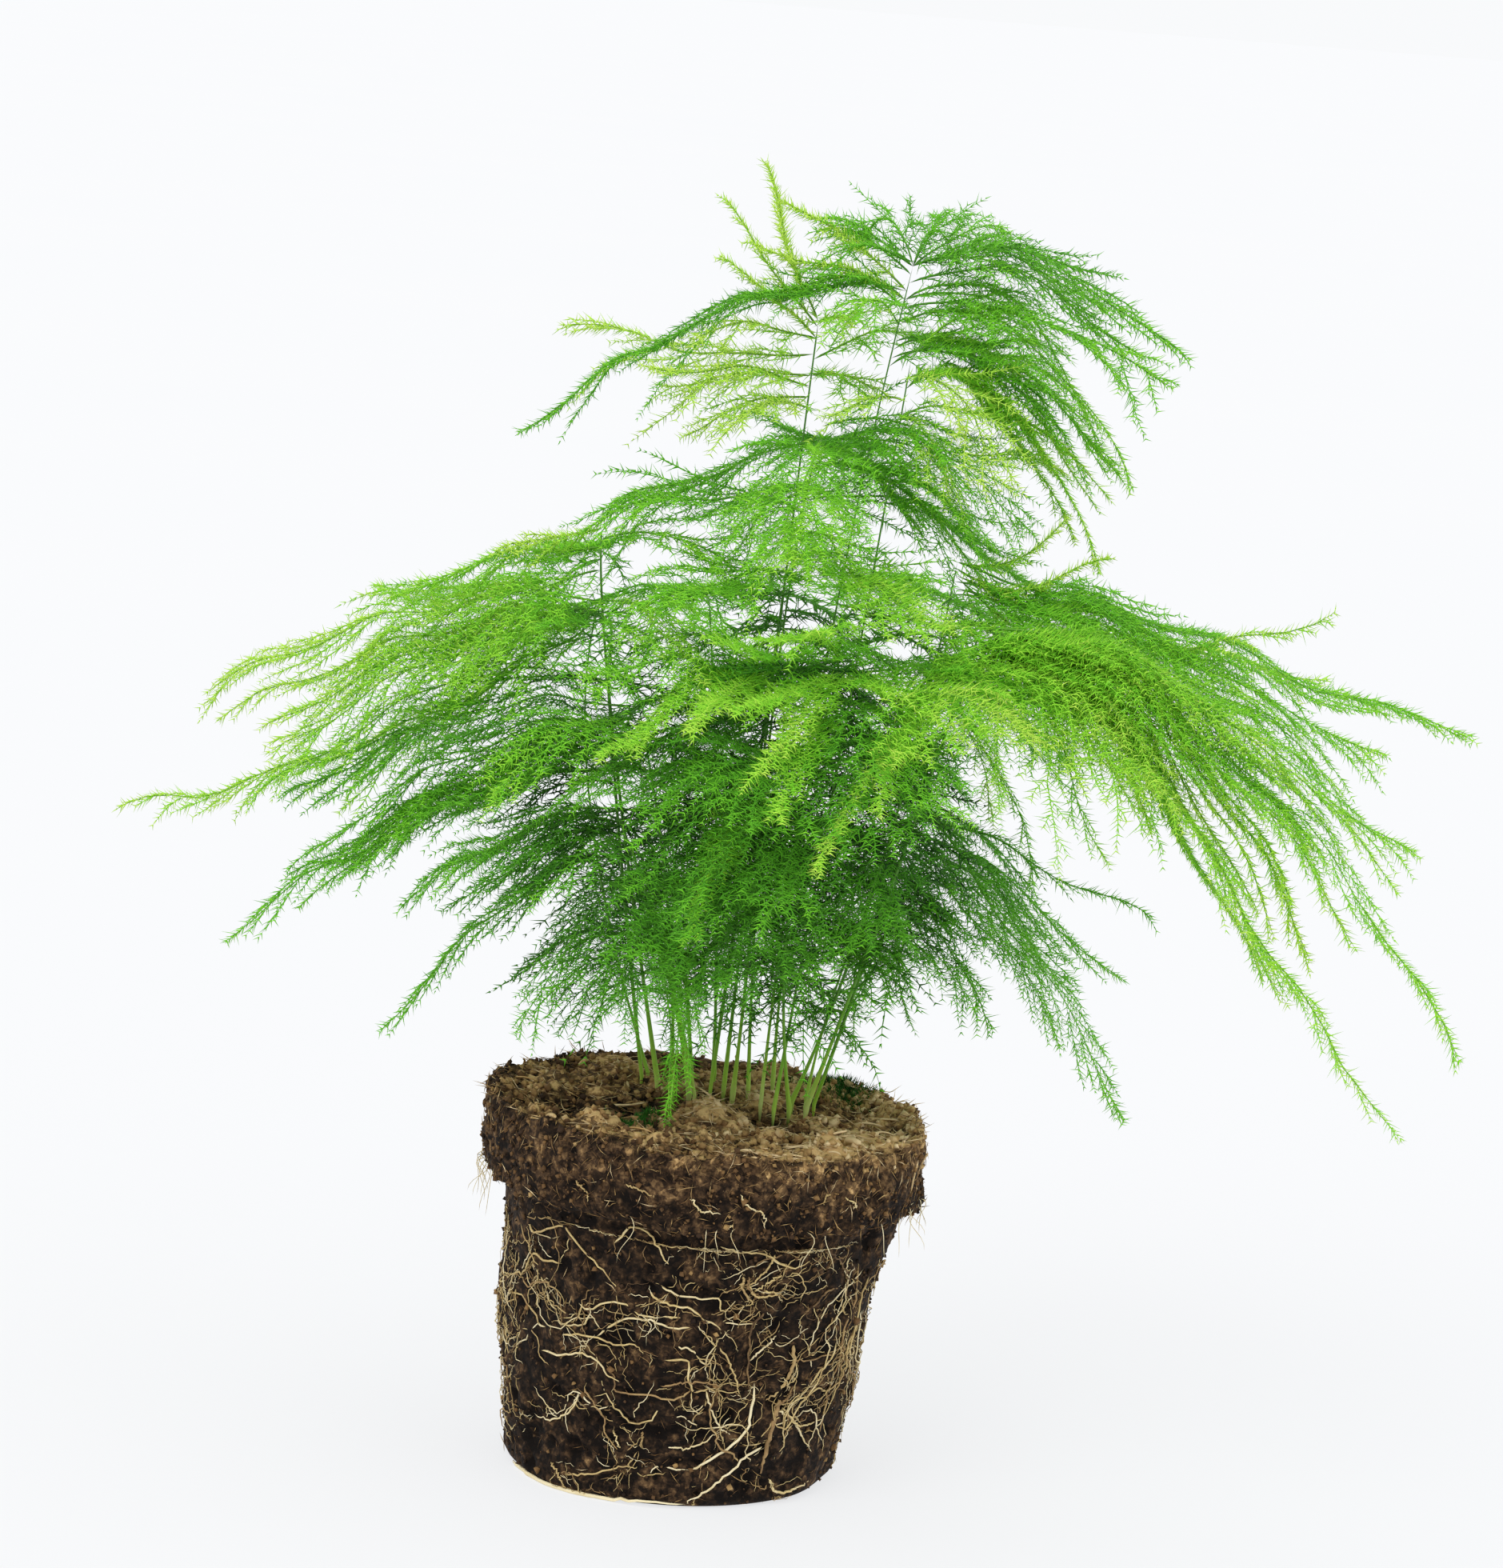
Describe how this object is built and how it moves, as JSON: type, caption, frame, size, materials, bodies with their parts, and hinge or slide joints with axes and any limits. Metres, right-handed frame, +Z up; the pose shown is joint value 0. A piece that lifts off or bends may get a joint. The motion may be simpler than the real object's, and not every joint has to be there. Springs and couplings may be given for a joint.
{
  "type": "asparagus fern with bare root ball",
  "caption": "Feathery asparagus fern with wiry stems and flat arching fronds, standing on its bare pot-shaped root ball.",
  "frame": {"origin": "on the flat underside of the root ball, where it rests, under the middle of its rim", "axes": "+Z up; -Y is the front, the side seen in the picture; +X to the right in the picture"},
  "size_m": [0.3502, 0.2163, 0.3416],
  "materials": {
    "soil": "dark brown moist potting soil, matt and fibrous",
    "roots": "pale straw-coloured roots, matt",
    "foliage": "fresh to dark green needles and wiry stems, slightly waxy, paler at the foot"
  },
  "bodies": {
    "root": {"root_ball": "soil", "root_net": "roots", "shoot_01": "foliage", "shoot_02": "foliage", "shoot_03": "foliage", "shoot_04": "foliage", "shoot_05": "foliage", "shoot_06": "foliage", "shoot_07": "foliage", "shoot_08": "foliage", "shoot_09": "foliage", "shoot_10": "foliage", "shoot_11": "foliage", "shoot_12": "foliage", "shoot_13": "foliage", "shoot_14": "foliage", "shoot_15": "foliage", "shoot_16": "foliage"}
  },
  "joints": []
}
